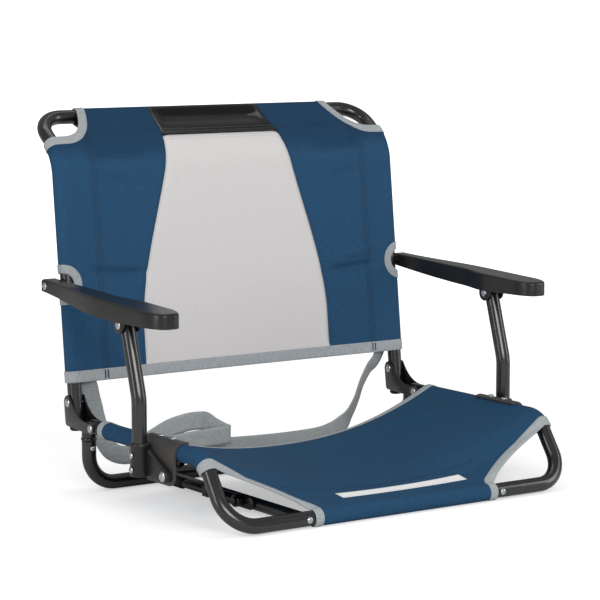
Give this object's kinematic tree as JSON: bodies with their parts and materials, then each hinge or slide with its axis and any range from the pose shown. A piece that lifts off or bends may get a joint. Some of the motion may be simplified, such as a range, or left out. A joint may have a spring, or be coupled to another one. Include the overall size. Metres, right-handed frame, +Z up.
{
  "type": "stadium chair",
  "caption": "Folding stadium chair: black tubular steel frame, slung navy cloth seat, mesh-centred back, folding arms, carry strap and bench hooks.",
  "frame": {"origin": "on the ground under the middle of the chair's box", "axes": "+Z up; the chair faces -Y; +X is to the right of someone who stands in front and looks at it"},
  "size_m": [0.62, 0.4947, 0.494],
  "materials": {
    "black_steel": "semi-gloss black powder coat",
    "gloss_black": "moulded gloss black",
    "black_plastic": "moulded satin black",
    "arm_plastic": "moulded satin black",
    "saddle_plastic": "moulded dark warm grey",
    "rubber": "matte black",
    "zinc": "bright zinc plate",
    "navy_cloth": "woven navy polyester, grey bound edges",
    "mesh_cloth": "pale grey open mesh",
    "black_cloth": "coated black cloth",
    "webbing": "woven grey webbing"
  },
  "bodies": {
    "seat": {"side_tube_left": "black_steel", "side_tube_right": "black_steel", "front_cross_tube": "black_steel", "rear_leg_tube": "black_steel", "rear_connector_left": "gloss_black", "rear_connector_right": "gloss_black", "leg_rivet_left": "zinc", "leg_rivet_right": "zinc", "runner_left": "black_steel", "runner_right": "black_steel", "front_screw_left": "zinc", "front_screw_right": "zinc", "hinge_pivot_left": "zinc", "hinge_pivot_right": "zinc", "saddle_left": "saddle_plastic", "saddle_right": "saddle_plastic", "saddle_screw_left_front": "zinc", "saddle_screw_left_rear": "zinc", "saddle_screw_right_front": "zinc", "saddle_screw_right_rear": "zinc", "hook_bracket_left": "black_steel", "hook_bracket_right": "black_steel", "seat_sling": "navy_cloth"},
    "back": {"back_tube_left": "black_steel", "back_tube_right": "black_steel", "upright_plug_left": "rubber", "upright_plug_right": "rubber", "hinge_plate_left_outer": "black_steel", "hinge_plate_left_inner": "black_steel", "hinge_plate_right_outer": "black_steel", "hinge_plate_right_inner": "black_steel", "upright_rivet_left": "zinc", "upright_rivet_right": "zinc", "back_panel_left": "navy_cloth", "back_panel_right": "navy_cloth", "back_mesh": "mesh_cloth", "back_top_pocket": "black_cloth", "carry_strap": "webbing"},
    "arm_left": {"arm_left": "arm_plastic", "arm_bolt_left": "zinc", "arm_spacer_left": "gloss_black", "arm_pin_left": "zinc"},
    "post_left": {"post_left": "black_steel", "post_socket_left": "black_plastic", "socket_screw_left_lower": "zinc", "socket_screw_left_upper": "zinc", "post_pivot_bolt_left": "zinc"},
    "hook_left": {"bench_hook_left": "black_steel", "hook_tip_left": "rubber"},
    "arm_right": {"arm_right": "arm_plastic", "arm_bolt_right": "zinc", "arm_spacer_right": "gloss_black", "arm_pin_right": "zinc"},
    "post_right": {"post_right": "black_steel", "post_socket_right": "black_plastic", "socket_screw_right_lower": "zinc", "socket_screw_right_upper": "zinc", "post_pivot_bolt_right": "zinc"},
    "hook_right": {"bench_hook_right": "black_steel", "hook_tip_right": "rubber"}
  },
  "joints": [
    {"name": "back_fold", "type": "hinge", "parent": "seat", "child": "back", "pos_m": [0, 0.078, 0.088], "axis": [1, 0, 0], "range_deg": [0, 96]},
    {"name": "arm_left_fold", "type": "hinge", "parent": "back", "child": "arm_left", "pos_m": [-0.2893, 0.15417, 0.268], "axis": [1, 0, 0], "range_deg": [-96, 0]},
    {"name": "post_left_fold", "type": "hinge", "parent": "seat", "child": "post_left", "pos_m": [-0.2893, -0.123, 0.06], "axis": [1, 0, 0], "range_deg": [0, 96]},
    {"name": "hook_left_swing", "type": "hinge", "parent": "seat", "child": "hook_left", "pos_m": [-0.1683, -0.109, 0.014], "axis": [-1, 0, 0], "range_deg": [0, 90]},
    {"name": "arm_right_fold", "type": "hinge", "parent": "back", "child": "arm_right", "pos_m": [0.2893, 0.15417, 0.268], "axis": [1, 0, 0], "range_deg": [-96, 0]},
    {"name": "post_right_fold", "type": "hinge", "parent": "seat", "child": "post_right", "pos_m": [0.2893, -0.123, 0.06], "axis": [1, 0, 0], "range_deg": [0, 96]},
    {"name": "hook_right_swing", "type": "hinge", "parent": "seat", "child": "hook_right", "pos_m": [0.1683, -0.109, 0.014], "axis": [-1, 0, 0], "range_deg": [0, 90]}
  ],
  "couplings": [
    {"joint": "arm_left_fold", "follows": "back_fold", "ratio": -1},
    {"joint": "post_left_fold", "follows": "back_fold", "ratio": 1},
    {"joint": "arm_right_fold", "follows": "back_fold", "ratio": -1},
    {"joint": "post_right_fold", "follows": "back_fold", "ratio": 1}
  ]
}
